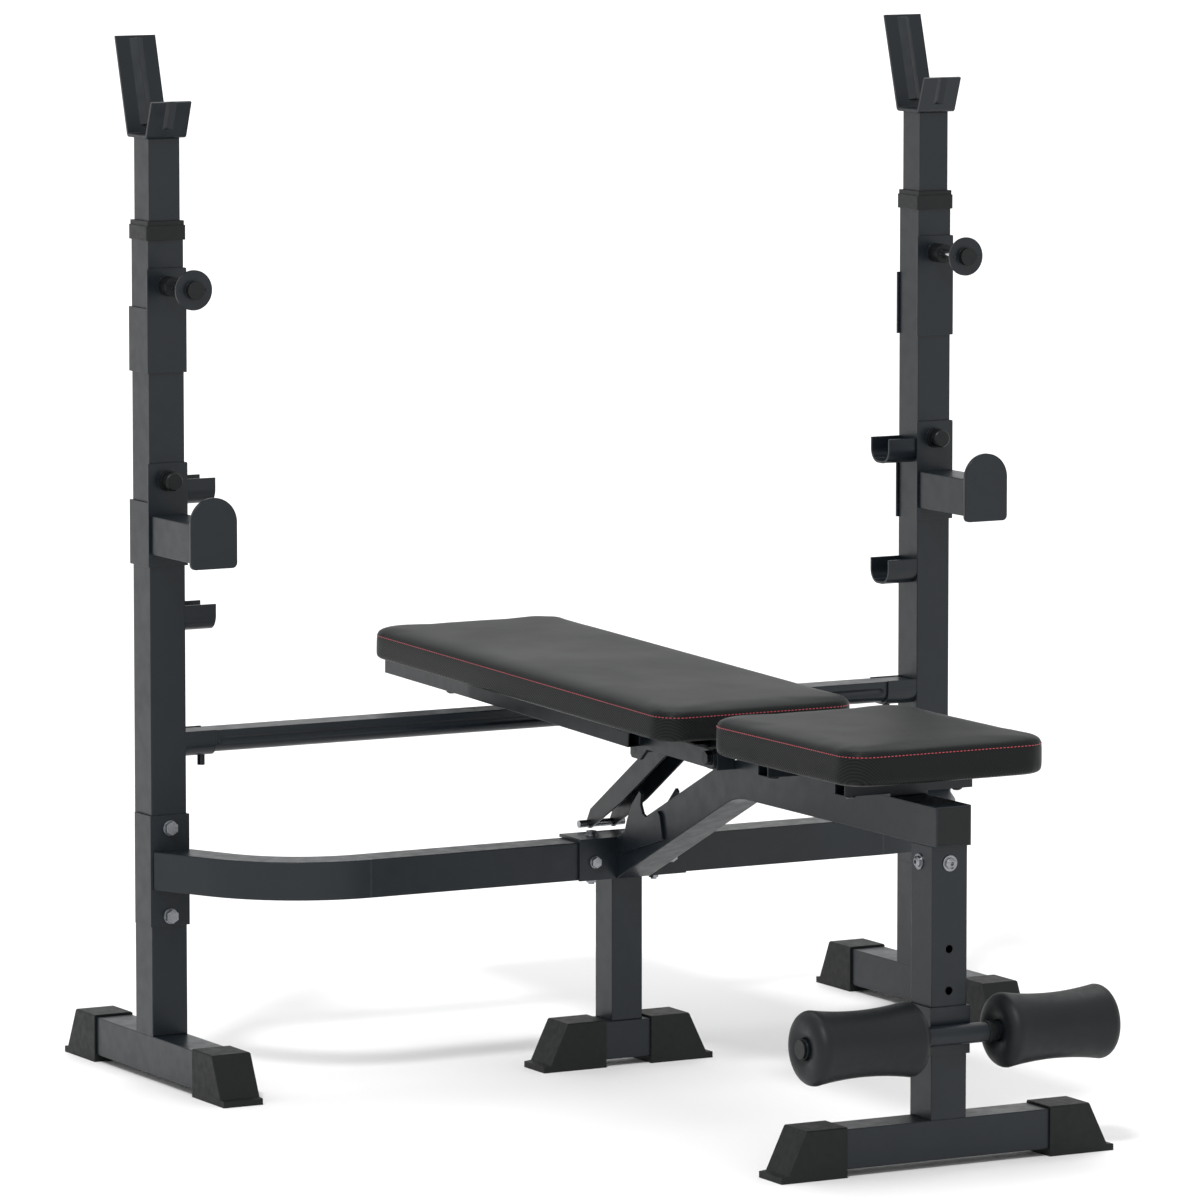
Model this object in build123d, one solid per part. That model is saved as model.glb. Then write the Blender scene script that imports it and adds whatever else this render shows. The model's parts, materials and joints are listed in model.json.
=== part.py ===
"""Olympic bench press: adjustable back rest, seat, bar posts, safety arms and leg rollers.

Millimetres, +Z up, X across the bench, the seat at the -Y end. Sizes along Y are given from
the plane of the two posts and shifted at the end, so the origin is the middle of the footprint.
"""

import math
import os

from build123d import *

# Frame tubes and base
frame_tube = 50.0
frame_wall = 2.0
ground_gap = 10.0
post_spacing = 1160.0
side_beam_half = 204.0
front_beam_half = 203.0
centre_beam_half = 91.0
leg_y = -1003.0
centre_post_size = 45.0
centre_post_y = -187.0

# Rubber foot caps
cap_wall = 3.0
cap_length = 57.0
cap_slope = 26.0
cap_toe = 36.0
cap_lip = 9.0
cap_fit = 0.1

# Posts, their inner posts and the bar catches
post_top = 1118.0
collar_bottom = 1101.0
collar_rim_top = 1120.0
collar_top = 1126.0
collar_overhang = 3.0
collar_step = 2.0
inner_post_play = 1.0
inner_post_bottom = 700.0
inner_post_top = 1233.0
slide_gap = 0.3
catch_width = 57.0
catch_plate = 4.0
catch_base_half = 28.5
catch_rear_height = 128.0
catch_rear_lean = 37.0
catch_front_height = 47.0
catch_front_lean = 17.0
catch_rib_width = 21.0
catch_rib_height = 6.0
catch_groove_depth = 3.5

# Clamp sleeves and knobs
sleeve_plate = 3.0
upper_sleeve_bottom = 929.0
upper_sleeve_top = 1065.0
sleeve_wrap_height = 84.0
sleeve_corner = 2.0
upper_knob_z = 1042.0
knob_shaft = 12.0
knob_fit = 0.05
boss_radius = 13.0
boss_length = 24.0
knob_disc_radius = 26.0
knob_disc_y = -105.0
knob_disc_thick = 3.0
knob_hub_radius = 12.0
knob_hub_back = 5.0
knob_hub_front = 8.0
knob_cone_length = 14.0
knob_pin_radius = 2.0
knob_pin_offset = 18.0

# Safety arms
safety_bottom = 677.0
safety_top = 812.0
lower_knob_z = 789.0
lower_ring_radius = 13.5
lower_ring_length = 6.0
lower_knob_radius = 12.0
lower_knob_length = 14.0
arm_bottom = 694.0
arm_reach = 158.0
end_plate_width = 66.0
end_plate_thick = 5.0
end_plate_bottom = 687.0
end_plate_top = 779.0
end_plate_corner = 7.0

# Troughs and the bar between the posts
trough_top = 458.0
trough_pitch = 165.5
trough_count = 3
trough_depth = 34.0
trough_length = 45.0
trough_plate = 3.0
trough_bend = 16.0
trough_slant = 5.0
crossbar_top = 457.0
crossbar_wall = 2.0
crossbar_end_gap = 3.0
crossbar_bead_end = 498.0
crossbar_bead_radius = 8.5
crossbar_bead_depth = 3.0
crossbar_bolt_end = 14.0
crossbar_bolt_x = 521.0

# Front crossmember and its brackets
cross_bottom = 254.0
cross_middle_y = -197.0
cross_bend = 175.0
cross_angle = 26.0
cross_end_offset = 2.8
post_bracket_bottom = 205.0
post_bracket_top = 351.0
post_bracket_plate = 3.0
post_bracket_back = 20.0
post_bolt_low = 218.0
post_bolt_high = 334.0
centre_plate = 4.0
centre_plate_half = 80.0
centre_flange_half = 77.0
centre_flange_back = -164.0
centre_bolt_x = 57.0
centre_bolt_z = 277.0
flange_bolt_x = 47.0

# Spine, front leg and hook plates
spine_z = 426.0
spine_front = -1037.0
spine_slope = 25.2
spine_bend = 150.0
plug_depth = 20.0
plug_fit = 0.1
leg_bolt_z = 379.0
leg_bolt_side_y = -997.0
leg_hole = 10.0
leg_hole_low = 168.0
leg_hole_pitch = 52.0
leg_hole_count = 3
hook_plate = 4.0

# Fasteners
bolt_m10 = 10.0
bolt_m8 = 8.0
bolt_play = 0.1
washer_thick = 1.6
leg_screw = 14.0

# Pads
pad_half_width = 149.0
pad_corner = 40.0
pad_edge = 9.0

# Seat
seat_front = -1039.0
seat_back = -670.0
seat_bottom = 480.0
seat_thick = 50.0
member_half = 92.0
member_depth = 26.0
member_wall = 1.5
member_front_y = -917.0
member_back_y = -727.0
saddle_height = 4.0
saddle_half = 27.0
member_screw_x = 77.0

# Back rest, in line with its own pad and turned by rest_tilt about its hinge
hinge_y = -530.0
hinge_z = 453.0
rest_tilt = 1.46
back_front = -40.0
back_rear = 793.0
back_bottom = 26.5
back_thick = 45.0
rail_size = 20.0
rail_wall = 1.5
rail_rear_x = 115.0
rail_front_x = 67.0
rail_rear = 773.0
rail_knee = 530.0
rail_front = 180.0
rail_drop = 18.5
rail_bend = 60.0
hinge_plate = 5.0
hinge_plate_x = 52.0
hinge_plate_low = -14.0
hinge_plate_high = 10.5
hinge_plate_nose = 10.0
stud_radius = 7.0
stud_y = 190.0
rail_screw_y = 598.0
pivot_gap = 0.3
pivot_fit = 0.05
stub_front = -540.0
stub_depth = 25.0
stub_bottom = 437.0

# Strut under the back rest
strut_pivot_y = -335.0
strut_pivot_z = 440.0
strut_length = 233.0
strut_angle = 32.6
strut_half_width = 19.0
strut_half_depth = 14.5
strut_plate = 3.0
strut_foot_radius = 7.0
strut_taper = 100.0
strut_rod = 10.0
strut_rod_half = 34.0

# Leg rollers
roller_z = 168.0
roller_radius = 47.5
roller_waist = 41.5
roller_inner_x = 56.5
roller_outer_x = 218.0
roller_edge = 10.0
axle_radius = 12.5
axle_wall = 1.5
roller_plug_radius = 12.0
roller_plug_proud = 4.0
spacer_length = 14.0
spacer_wall = 1.0
carriage_plate = 3.0
carriage_bottom = 141.0
carriage_top = 201.0
weld_half_height = 7.0
weld_half_width = 26.0

# Everything below follows from the sizes above
post_x = post_spacing / 2
beam_top = ground_gap + frame_tube
half_tube = frame_tube / 2
post_inner = half_tube - frame_wall
inner_post_size = 2 * (post_inner - inner_post_play)
cross_top = cross_bottom + frame_tube
cross_front = cross_middle_y - half_tube
spine_top = spine_z + half_tube
spine_bottom = spine_z - half_tube
bracket_front = -half_tube - post_bracket_plate
plate_front = cross_front - centre_plate
sleeve_gap = half_tube + slide_gap
carriage_gap = half_tube + slide_gap
trough_half = half_tube - slide_gap
crossbar_half = trough_half - trough_plate
crossbar_bottom = trough_top - trough_depth + trough_plate
member_bottom = spine_top + saddle_height
rail_spread = (rail_rear_x - rail_front_x) / (rail_knee - rail_front)
stud_x = rail_front_x + (stud_y - rail_front) * rail_spread
carriage_front = leg_y - carriage_gap - carriage_plate
roller_y = carriage_front - axle_radius
roller_reach = -roller_y + roller_radius
back_reach = hinge_y + back_rear * math.cos(math.radians(rest_tilt))
shift_y = (roller_reach - back_reach) / 2


def block(x, y, z):
    """A box from its low and high limit on each axis."""
    limits = (x, y, z)
    size = [high - low for low, high in limits]
    middle = [(high + low) / 2 for low, high in limits]
    return Pos(*middle) * Box(*size)


def square_tube(x, y, z, wall, along):
    """A hollow box that is open at both ends along one axis (0, 1 or 2)."""
    limits = [x, y, z]
    bore = [(low + wall, high - wall) for low, high in limits]
    bore[along] = limits[along]
    return block(*limits) - block(*bore)


def rod(start, end, radius, end_radius=None):
    """A round bar between two points, tapered when end_radius is given."""
    start = Vector(*start)
    reach = Vector(*end) - start
    base = (Align.CENTER, Align.CENTER, Align.MIN)
    if end_radius is None:
        shape = Cylinder(radius, reach.length, align=base)
    else:
        shape = Cone(radius, end_radius, reach.length, align=base)
    return Plane(origin=start, z_dir=reach) * shape


def hexagon(start, direction, across, height):
    """A hexagonal head or nut standing on start."""
    plane = Plane(origin=start, z_dir=direction)
    flat = plane * RegularPolygon(across / 2, 6, major_radius=False)
    return extrude(flat, height, dir=Vector(*direction))


def point_along(start, direction, distance):
    """The point at a distance from start."""
    return tuple(s + d * distance for s, d in zip(start, direction))


def bolt(start, direction, grip, size, nut=True):
    """A bolt: head and washer before start, nut and washer after the grip."""
    back = tuple(-d for d in direction)
    far = point_along(start, direction, grip)
    solid = rod(start, far, size / 2)
    solid += rod(start, point_along(start, back, washer_thick), size)
    solid += hexagon(point_along(start, back, washer_thick), back, size * 1.6, size * 0.6)
    if nut:
        solid += rod(far, point_along(far, direction, washer_thick), size)
        solid += hexagon(point_along(far, direction, washer_thick), direction, size * 1.6, size * 0.8)
        solid += rod(far, point_along(far, direction, washer_thick + size * 1.1), size / 2)
    return solid


def button_screw(start, direction, grip, size, washer=0.0):
    """A screw with a domed socket head, on a washer of the given radius if there is one."""
    back = tuple(-d for d in direction)
    seat = start
    solid = rod(start, point_along(start, direction, grip), size / 2)
    if washer:
        seat = point_along(start, back, washer_thick)
        solid += rod(start, seat, washer)
    solid += rod(seat, point_along(seat, back, size * 0.3), size * 0.88)
    dome = point_along(seat, back, size * 0.3)
    solid += rod(dome, point_along(dome, back, size * 0.25), size * 0.88, size * 0.5)
    return solid - hexagon(point_along(seat, back, size * 0.15), back, size * 0.6, size)


def side_profile(points, x):
    """A solid from an outline in Y and Z, between two limits in X."""
    face = Plane.YZ * Polygon(*points, align=None)
    return Pos(x[0], 0, 0) * extrude(face, x[1] - x[0], dir=Vector(1, 0, 0))


def bent_strip(points, bend, plate):
    """The face of a sheet that follows points with its thickness on the left of them."""
    line = FilletPolyline(*points, radius=bend)
    return make_face(offset(line, amount=plate, side=Side.LEFT))


def both_sides(shape):
    """The shape as left and right copies in one compound."""
    return Compound([*shape.solids(), *mirror(shape, about=Plane.YZ).solids()])


def foot_cap():
    """A cap on the end of a beam along X; X is measured from the beam's capped end."""
    outline = [
        (-cap_length, 0),
        (-cap_length, beam_top + cap_wall),
        (0, beam_top + cap_wall),
        (cap_slope, cap_lip),
        (cap_toe, cap_lip - 1),
        (cap_toe, 0),
    ]
    half = half_tube + cap_wall
    face = Plane.XZ * Polygon(*outline, align=None)
    cap = Pos(0, -half, 0) * extrude(face, half * 2, dir=Vector(0, 1, 0))
    cap = chamfer(cap.edges().filter_by(Axis.X).group_by(Axis.Z)[-1], 1.5)
    bore = half_tube + cap_fit
    return cap - block(
        (-cap_length, -cap_wall), (-bore, bore), (ground_gap, beam_top + cap_fit)
    )


def caps(half_length, y, turn):
    """The two caps of one beam, on the beam's own line."""
    pair = [
        Pos(0, y, 0) * Rot(0, 0, turn + extra) * Pos(half_length, 0, 0) * foot_cap()
        for extra in (0, 180)
    ]
    return [solid for cap in pair for solid in cap.solids()]


def side_caps():
    """The four caps of the two beams under the posts."""
    pair = caps(side_beam_half, 0, 90)
    return Compound([Pos(x, 0, 0) * cap for x in (-post_x, post_x) for cap in pair])


def side_beam():
    """Beam under the left post, along Y."""
    reach = side_beam_half - cap_wall
    x = (-post_x - half_tube, -post_x + half_tube)
    return square_tube(x, (-reach, reach), (ground_gap, beam_top), frame_wall, 1)


def cross_beam(half_length, y):
    """A beam on the floor along X."""
    reach = half_length - cap_wall
    return square_tube(
        (-reach, reach), (y - half_tube, y + half_tube), (ground_gap, beam_top), frame_wall, 0
    )


def post():
    """Left outer post with its bolt and clamp screw holes."""
    x = (-post_x - half_tube, -post_x + half_tube)
    solid = square_tube(x, (-half_tube, half_tube), (beam_top, post_top), frame_wall, 2)
    for z in (post_bolt_low, post_bolt_high):
        solid -= rod((-post_x, -frame_tube, z), (-post_x, frame_tube, z), bolt_m10 / 2 + bolt_play)
    clamp = knob_shaft / 2 + slide_gap
    return solid - rod((-post_x, -frame_tube, upper_knob_z), (-post_x, 0, upper_knob_z), clamp)


def collar():
    """Plastic collar on the post top that guides the inner post."""
    rim = half_tube + collar_overhang
    top = rim - collar_step
    solid = block((-rim, rim), (-rim, rim), (collar_bottom, collar_rim_top))
    solid = fillet(solid.edges().filter_by(Axis.Z), 3)
    solid += block((-top, top), (-top, top), (collar_rim_top, collar_top))
    seat = half_tube + cap_fit
    solid -= block((-seat, seat), (-seat, seat), (collar_bottom, post_top))
    bore = inner_post_size / 2 + slide_gap
    solid -= block((-bore, bore), (-bore, bore), (post_top, collar_top))
    return Pos(-post_x, 0, 0) * solid


def inner_post():
    """Left inner post, sliding in the outer one."""
    half = inner_post_size / 2
    x = (-post_x - half, -post_x + half)
    return square_tube(x, (-half, half), (inner_post_bottom, inner_post_top), frame_wall, 2)


def catch_crease(start, end, height):
    """A prism along one arm of the bar catch, for the crease inside and the groove outside."""
    start = Vector(*start)
    reach = Vector(*end) - start
    plane = Plane(origin=start, x_dir=(1, 0, 0), z_dir=reach)
    half = catch_rib_width / 2
    face = plane * Polygon((-half, 0), (half, 0), (0, height), align=None)
    return extrude(face, reach.length, dir=reach.normalized())


def bar_catch():
    """Open catch for the bar on the left inner post."""
    front_top = (-catch_base_half - catch_front_lean, inner_post_top + catch_front_height)
    rear_top = (catch_base_half + catch_rear_lean, inner_post_top + catch_rear_height)
    corners = [(-catch_base_half, inner_post_top), (catch_base_half, inner_post_top)]
    sheet = Plane.YZ * bent_strip([front_top, *corners, rear_top], 6, catch_plate)
    half = catch_width / 2
    solid = Pos(-half, 0, 0) * extrude(sheet, catch_width, dir=Vector(1, 0, 0))
    for (y, z), top, lift in ((corners[0], front_top, -1), (corners[1], rear_top, 1)):
        lean = Vector(0, top[0] - y, top[1] - z).normalized()
        inward = Vector(0, -lift * lean.Z, lift * lean.Y) * (catch_plate - 0.5)
        foot, end = Vector(0, y, z), Vector(0, *top)
        solid += catch_crease(foot + lean * 14 + inward, end - lean * 4 + inward, -catch_rib_height * lift)
        outside = inward.normalized() * -1
        solid -= catch_crease(foot + lean * 12 + outside, end + lean * 3 + outside, -catch_groove_depth * lift)
    return Pos(-post_x, 0, 0) * solid


def sleeve(gap, bottom, top, knob_z):
    """Clamp sleeve round the front, outside and back of the left post."""
    outer = gap + sleeve_plate
    inner_edge = half_tube + sleeve_plate
    wrap = (bottom, bottom + sleeve_wrap_height)
    solid = block((-outer, inner_edge), (-outer, outer), wrap)
    solid -= block((-gap, inner_edge), (-gap, gap), wrap)
    front = block((-outer, inner_edge), (-outer, -gap), (bottom, top))
    front = fillet(front.edges().filter_by(Axis.Y).group_by(Axis.Z)[-1], sleeve_corner)
    hole = rod((0, -outer, knob_z), (0, -gap, knob_z), knob_shaft / 2 + slide_gap)
    return Pos(-post_x, 0, 0) * (solid + front - hole)


def sleeve_boss(face_y, radius, length, z):
    """Threaded boss that carries a clamp knob."""
    solid = rod((-post_x, face_y, z), (-post_x, face_y - length, z), radius)
    bore = knob_shaft / 2 + knob_fit
    return solid - rod((-post_x, face_y, z), (-post_x, face_y - length, z), bore)


def upper_sleeve():
    """Fixed sleeve with the boss for the upper clamp knob."""
    solid = sleeve(half_tube, upper_sleeve_bottom, upper_sleeve_top, upper_knob_z)
    face_y = -half_tube - sleeve_plate
    return solid + sleeve_boss(face_y, boss_radius, boss_length, upper_knob_z)


def upper_knob():
    """Clamp screw with a disc and a hub; its tip stops short of the inner post."""
    tip = -inner_post_size / 2 - slide_gap
    z = upper_knob_z
    cone = knob_disc_y + knob_hub_back + knob_cone_length
    back = knob_disc_y + knob_hub_back
    front = knob_disc_y - knob_disc_thick
    solid = rod((-post_x, tip, z), (-post_x, back, z), knob_shaft / 2)
    solid += rod((-post_x, cone, z), (-post_x, back, z), knob_shaft / 2, knob_hub_radius - 2)
    solid += rod((-post_x, back, z), (-post_x, front - knob_hub_front, z), knob_hub_radius)
    solid += rod((-post_x, knob_disc_y, z), (-post_x, front, z), knob_disc_radius)
    for side in (-1, 1):
        x = -post_x + side * knob_pin_offset
        solid += rod((x, front, z), (x, front - 1.5, z), knob_pin_radius)
    return solid


def safety_sleeve():
    """Sliding sleeve of the left safety arm."""
    solid = sleeve(sleeve_gap, safety_bottom, safety_top, lower_knob_z)
    face_y = -sleeve_gap - sleeve_plate
    return solid + sleeve_boss(face_y, lower_ring_radius, lower_ring_length, lower_knob_z)


def lower_knob():
    """Short clamp knob of the safety sleeve."""
    tip = -half_tube - slide_gap
    back = -sleeve_gap - sleeve_plate - lower_ring_length - pivot_gap
    z = lower_knob_z
    solid = rod((-post_x, tip, z), (-post_x, back, z), knob_shaft / 2)
    grip = rod((-post_x, back, z), (-post_x, back - lower_knob_length, z), lower_knob_radius)
    grip = chamfer(grip.edges().group_by(Axis.Y)[0], 1.5)
    return solid + grip


def safety_arm():
    """Arm that catches the bar, with the round-topped plate at its end."""
    face_y = -sleeve_gap - sleeve_plate
    z = (arm_bottom, arm_bottom + frame_tube)
    arm = square_tube((-half_tube, half_tube), (-arm_reach, face_y), z, frame_wall, 1)
    half = end_plate_width / 2
    y = (-arm_reach - end_plate_thick, -arm_reach)
    centre = end_plate_top - half
    plate = block((-half, half), y, (end_plate_bottom, centre))
    plate = fillet(plate.edges().filter_by(Axis.Y).group_by(Axis.Z)[0], end_plate_corner)
    plate += rod((0, y[0], centre), (0, y[1], centre), half)
    return Pos(-post_x, 0, 0) * (arm + plate)


def troughs():
    """Three open troughs for the crossbar on the inside of the left post."""
    bottom = trough_top - trough_depth
    points = [
        (-trough_half, trough_top),
        (-trough_half, bottom),
        (trough_half, bottom),
        (trough_half, trough_top),
    ]
    sheet = Plane.YZ * bent_strip(points, trough_bend + trough_plate, trough_plate)
    one = extrude(sheet, trough_length, dir=Vector(1, 0, 0))
    slant = Polygon((trough_length, trough_top), (trough_length, 0), (trough_length - trough_slant, 0), align=None)
    one -= Pos(0, post_x, 0) * extrude(Plane.XZ * slant, post_spacing)
    one = Pos(-post_x + half_tube, 0, 0) * one
    hole = bolt_m10 / 2 + bolt_play
    lowest = one - rod((-crossbar_bolt_x, 0, 0), (-crossbar_bolt_x, 0, trough_top), hole)
    upper = [Pos(0, 0, trough_pitch * step) * one for step in range(1, trough_count)]
    return Compound([s for shape in (lowest, *upper) for s in shape.solids()])


def crossbar_bead(y, radius):
    """A long round-ended bar, the shape pressed into the front of the crossbar."""
    z = (crossbar_bottom + crossbar_top) / 2
    ends = [(side * crossbar_bead_end, y, z) for side in (-1, 1)]
    return rod(*ends, radius) + [Pos(*end) * Sphere(radius) for end in ends]


def crossbar():
    """Bar between the posts, lying in the lowest troughs."""
    reach = post_x - half_tube - crossbar_end_gap
    x = (-reach, reach)
    z = (crossbar_bottom, crossbar_top)
    half = crossbar_half
    bore = half - crossbar_wall
    outer = block(x, (-half, half), z)
    outer = fillet(outer.edges().filter_by(Axis.X).group_by(Axis.Z)[0], trough_bend + 0.3)
    inner = block(x, (-bore, bore), (z[0] + crossbar_wall, z[1] - crossbar_wall))
    inner = fillet(inner.edges().filter_by(Axis.X).group_by(Axis.Z)[0], trough_bend - crossbar_wall)
    bead_y = -half - crossbar_bead_radius + crossbar_bead_depth
    solid = outer - (inner - crossbar_bead(bead_y, crossbar_bead_radius + crossbar_wall))
    solid -= crossbar_bead(bead_y, crossbar_bead_radius)
    hole = bolt_m10 / 2 + bolt_play
    for end in (-crossbar_bolt_x, crossbar_bolt_x):
        low, high = (end, 0, crossbar_bottom), (end, 0, crossbar_bottom + crossbar_wall)
        solid -= rod(low, high, hole)
    return solid


def crossbar_bolts():
    """Threaded studs down through the crossbar and the lowest troughs."""
    top = (-crossbar_bolt_x, 0, crossbar_bottom + crossbar_wall)
    grip = crossbar_wall + trough_plate + crossbar_bolt_end
    return both_sides(rod(top, point_along(top, (0, 0, -1), grip), bolt_m10 / 2))


def post_bracket():
    """Channel round the front of the left post that carries the crossmember."""
    outer = half_tube + post_bracket_plate
    z = (post_bracket_bottom, post_bracket_top)
    solid = block((-outer, outer), (-outer, post_bracket_back), z)
    solid -= block((-half_tube, half_tube), (-half_tube, post_bracket_back), z)
    for height in (post_bolt_low, post_bolt_high):
        solid -= rod((0, -outer, height), (0, 0, height), bolt_m10 / 2 + bolt_play)
    return Pos(-post_x, 0, 0) * solid


def post_bracket_bolts():
    """Through bolts of both post brackets."""
    grip = half_tube - bracket_front
    bolts = [
        bolt((-post_x, bracket_front, z), (0, 1, 0), grip, bolt_m10)
        for z in (post_bolt_low, post_bolt_high)
    ]
    return both_sides(Compound([s for b in bolts for s in b.solids()]))


def swept_tube(points, bend, size, wall):
    """A square tube along a path with rounded corners."""
    path = FilletPolyline(*points, radius=bend)
    start = Plane(origin=path @ 0, z_dir=path % 0)
    if abs(start.x_dir.Z) > 0.5:
        start = Plane(origin=path @ 0, x_dir=(1, 0, 0), z_dir=path % 0)
    outer = sweep(start * Rectangle(size, size), path=path)
    inner = sweep(start * Rectangle(size - 2 * wall, size - 2 * wall), path=path)
    return outer - inner


def crossmember():
    """Tube from post to post in front of them, as its straight run and its two bent ends."""
    lean = math.tan(math.radians(cross_angle))
    end_x = post_x - cross_end_offset
    corner_x = end_x - (bracket_front - cross_middle_y) * lean
    middle_z = cross_bottom + half_tube
    points = [
        (-end_x - half_tube * lean, bracket_front + half_tube, middle_z),
        (-corner_x, cross_middle_y, middle_z),
        (corner_x, cross_middle_y, middle_z),
        (end_x + half_tube * lean, bracket_front + half_tube, middle_z),
    ]
    solid = swept_tube(points, cross_bend, frame_tube, frame_wall)
    keep = block((-post_spacing, post_spacing), (cross_front, bracket_front), (cross_bottom, cross_top))
    solid = solid & keep
    hole = bolt_m8 / 2 + bolt_play
    for side in (-1, 1):
        x = side * centre_bolt_x
        solid -= rod((x, cross_front, centre_bolt_z), (x, 0, centre_bolt_z), hole)
        x = side * flange_bolt_x
        solid -= rod((x, cross_middle_y, 0), (x, cross_middle_y, cross_top), hole)
    bend_start = corner_x - cross_bend * math.tan(math.radians((90 - cross_angle) / 2))
    limits = [-post_spacing, -bend_start, bend_start, post_spacing]
    spans = zip(limits, limits[1:])
    runs = [solid & block(x, (cross_front, 0), (cross_bottom, cross_top)) for x in spans]
    return Compound([s for run in runs for s in run.solids()])


def centre_bracket():
    """Angle plate that bolts the spine to the crossmember."""
    z = (cross_bottom - 1, cross_top + centre_plate)
    half = centre_plate_half
    solid = block((-half, half), (plate_front, cross_front), z)
    half = centre_flange_half
    solid += block((-half, half), (plate_front, centre_flange_back), (cross_top, z[1]))
    hole = bolt_m8 / 2 + bolt_play
    for side in (-1, 1):
        x = side * centre_bolt_x
        solid -= rod((x, plate_front, centre_bolt_z), (x, 0, centre_bolt_z), hole)
        x = side * flange_bolt_x
        solid -= rod((x, cross_middle_y, cross_top), (x, cross_middle_y, z[1]), hole)
    return solid


def centre_bracket_bolts():
    """Two level and two upright bolts of the centre bracket."""
    level = (-centre_bolt_x, plate_front, centre_bolt_z)
    upright = (-flange_bolt_x, cross_middle_y, cross_top + centre_plate)
    grip = frame_tube + centre_plate
    pair = [bolt(level, (0, 1, 0), grip, bolt_m8), bolt(upright, (0, 0, -1), grip, bolt_m8)]
    return both_sides(Compound([s for b in pair for s in b.solids()]))


def centre_post():
    """Short post from the centre beam up to the crossmember."""
    half = centre_post_size / 2
    y = (centre_post_y - half, centre_post_y + half)
    return square_tube((-half, half), y, (beam_top, cross_bottom), frame_wall, 2)


def spine():
    """Main tube: level under the seat, then down to the centre bracket."""
    fall = math.tan(math.radians(spine_slope))
    middle_z = cross_bottom - 1 + half_tube / math.cos(math.radians(spine_slope))
    corner_y = plate_front - (spine_z - middle_z) / fall
    end_y = plate_front + frame_tube
    points = [(0, spine_front, spine_z), (0, corner_y, spine_z), (0, end_y, middle_z - frame_tube * fall)]
    solid = swept_tube(points, spine_bend, frame_tube, frame_wall)
    solid &= block((-frame_tube, frame_tube), (spine_front, plate_front), (0, spine_top))
    hole = bolt_m10 / 2 + bolt_play
    return solid - rod((-frame_tube, hinge_y, hinge_z), (frame_tube, hinge_y, hinge_z), hole)


def spine_plug():
    """Plastic plug in the open end of the spine."""
    half = half_tube - frame_wall - plug_fit
    y = (spine_front, spine_front + plug_depth)
    return block((-half, half), y, (spine_z - half, spine_z + half))


def hook_plates():
    """Two hooks beside the spine for the foot of the strut."""
    outline = [
        (-246, 290),
        (-252, 312),
        (-261, 336),
        (-275, 359),
        (-295, 378),
        (-299, 374),
        (-297, 360),
        (-303, 349),
        (-312, 346),
        (-330, 352),
        (-343, 358),
        (-349, 352),
        (-356, 322),
    ]
    return both_sides(side_profile(outline, (half_tube, half_tube + hook_plate)))


def front_leg():
    """Leg under the seat end, with the row of holes for the leg rollers."""
    y = (leg_y - half_tube, leg_y + half_tube)
    solid = square_tube((-half_tube, half_tube), y, (beam_top, spine_bottom), frame_wall, 2)
    for step in range(leg_hole_count):
        z = leg_hole_low + step * leg_hole_pitch
        solid -= rod((0, y[0], z), (0, leg_y, z), leg_hole / 2)
    hole = bolt_m8 / 2 + bolt_play
    solid -= rod((0, y[0], leg_bolt_z), (0, leg_y, leg_bolt_z), hole)
    return solid - rod((-half_tube, leg_bolt_side_y, leg_bolt_z), (0, leg_bolt_side_y, leg_bolt_z), hole)


def leg_bolts():
    """Two screws near the top of the front leg, in threaded inserts."""
    front = button_screw((0, leg_y - half_tube, leg_bolt_z), (0, 1, 0), leg_screw, bolt_m8, bolt_m10)
    side = button_screw((-half_tube, leg_bolt_side_y, leg_bolt_z), (1, 0, 0), leg_screw, bolt_m8, bolt_m10)
    return Compound([*front.solids(), *side.solids()])


def hinge_stubs():
    """Square stubs on the spine that hold the hinge bolt of the back rest."""
    x = (half_tube, hinge_plate_x - pivot_gap)
    y = (stub_front, stub_front + stub_depth)
    solid = block(x, y, (stub_bottom, stub_bottom + stub_depth))
    hole = bolt_m10 / 2 + bolt_play
    return both_sides(solid - rod((0, hinge_y, hinge_z), (frame_tube * 2, hinge_y, hinge_z), hole))


def hinge_bolt():
    """Bolt on which the back rest turns."""
    reach = hinge_plate_x + hinge_plate + pivot_gap
    return bolt((-reach, hinge_y, hinge_z), (1, 0, 0), reach * 2, bolt_m10)


def seat_member(y):
    """Cross tube under the seat with its saddle on the spine."""
    half = member_depth / 2
    limits = (y - half, y + half)
    z = (member_bottom, seat_bottom)
    solid = square_tube((-member_half, member_half), limits, z, member_wall, 0)
    solid += block((-saddle_half, saddle_half), limits, (spine_top, member_bottom))
    for x in (-member_screw_x, member_screw_x):
        solid -= rod((x, y, member_bottom), (x, y, seat_bottom), bolt_m8 / 2 + bolt_play)
    return solid


def seat_screws():
    """Four screws through the seat members up to the seat."""
    grip = seat_bottom - member_bottom
    screws = [
        button_screw((-member_screw_x, y, member_bottom), (0, 0, 1), grip, bolt_m8)
        for y in (member_front_y, member_back_y)
    ]
    return both_sides(Compound([s for b in screws for s in b.solids()]))


def pad(y, z):
    """An upholstered pad with round plan corners and a soft top edge."""
    solid = block((-pad_half_width, pad_half_width), y, z)
    solid = fillet(solid.edges().filter_by(Axis.Z), pad_corner)
    solid = fillet(solid.edges().group_by(Axis.Z)[-1], pad_edge)
    return fillet(solid.edges().group_by(Axis.Z)[0], pad_edge / 2)


def turned(shape):
    """A shape of the back rest, from hinge coordinates to its rest position."""
    return Pos(0, hinge_y, hinge_z) * Rot(rest_tilt, 0, 0) * shape


def back_pad():
    """Long pad of the back rest."""
    return turned(pad((back_front, back_rear), (back_bottom, back_bottom + back_thick)))


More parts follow.
